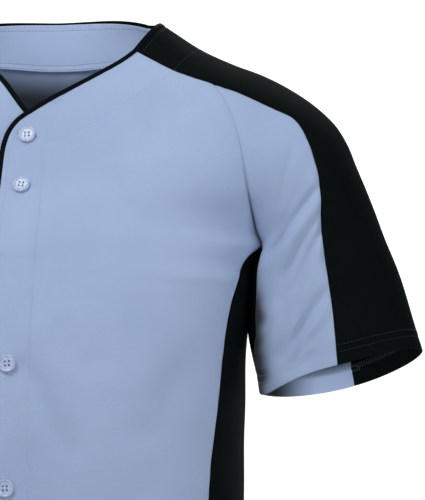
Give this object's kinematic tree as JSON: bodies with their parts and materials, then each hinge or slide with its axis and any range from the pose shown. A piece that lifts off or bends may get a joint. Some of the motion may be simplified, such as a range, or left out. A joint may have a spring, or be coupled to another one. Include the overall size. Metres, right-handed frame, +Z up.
{
  "type": "baseball jersey",
  "caption": "Short-sleeved baseball jersey, buttoned down the front, with raglan sleeves, dark shoulder strips, side panels and neck piping, filled out as when worn.",
  "frame": {"origin": "midway between the high points of the shoulders at the neck, where the wearer holds the jersey up", "axes": "+Z up, the front faces -Y, the wearer's left is +X"},
  "size_m": [0.672, 0.268, 0.7676],
  "materials": {
    "mesh_knit_blue": "matte mesh knit",
    "mesh_knit_black": "matte mesh knit",
    "button_resin": "satin"
  },
  "bodies": {
    "root": {"front_left": "mesh_knit_blue", "front_right": "mesh_knit_blue", "back": "mesh_knit_blue", "side_panel_left": "mesh_knit_black", "side_panel_right": "mesh_knit_black", "shoulder_strip_left": "mesh_knit_black", "shoulder_strip_right": "mesh_knit_black", "sleeve_front_left": "mesh_knit_blue", "sleeve_front_right": "mesh_knit_blue", "sleeve_back_left": "mesh_knit_blue", "sleeve_back_right": "mesh_knit_blue", "underarm_gusset_left": "mesh_knit_black", "underarm_gusset_right": "mesh_knit_black", "piping": "mesh_knit_black", "back_neck_facing": "mesh_knit_blue", "button_1": "button_resin", "button_2": "button_resin", "button_3": "button_resin", "button_4": "button_resin", "button_5": "button_resin", "button_6": "button_resin"}
  },
  "joints": []
}
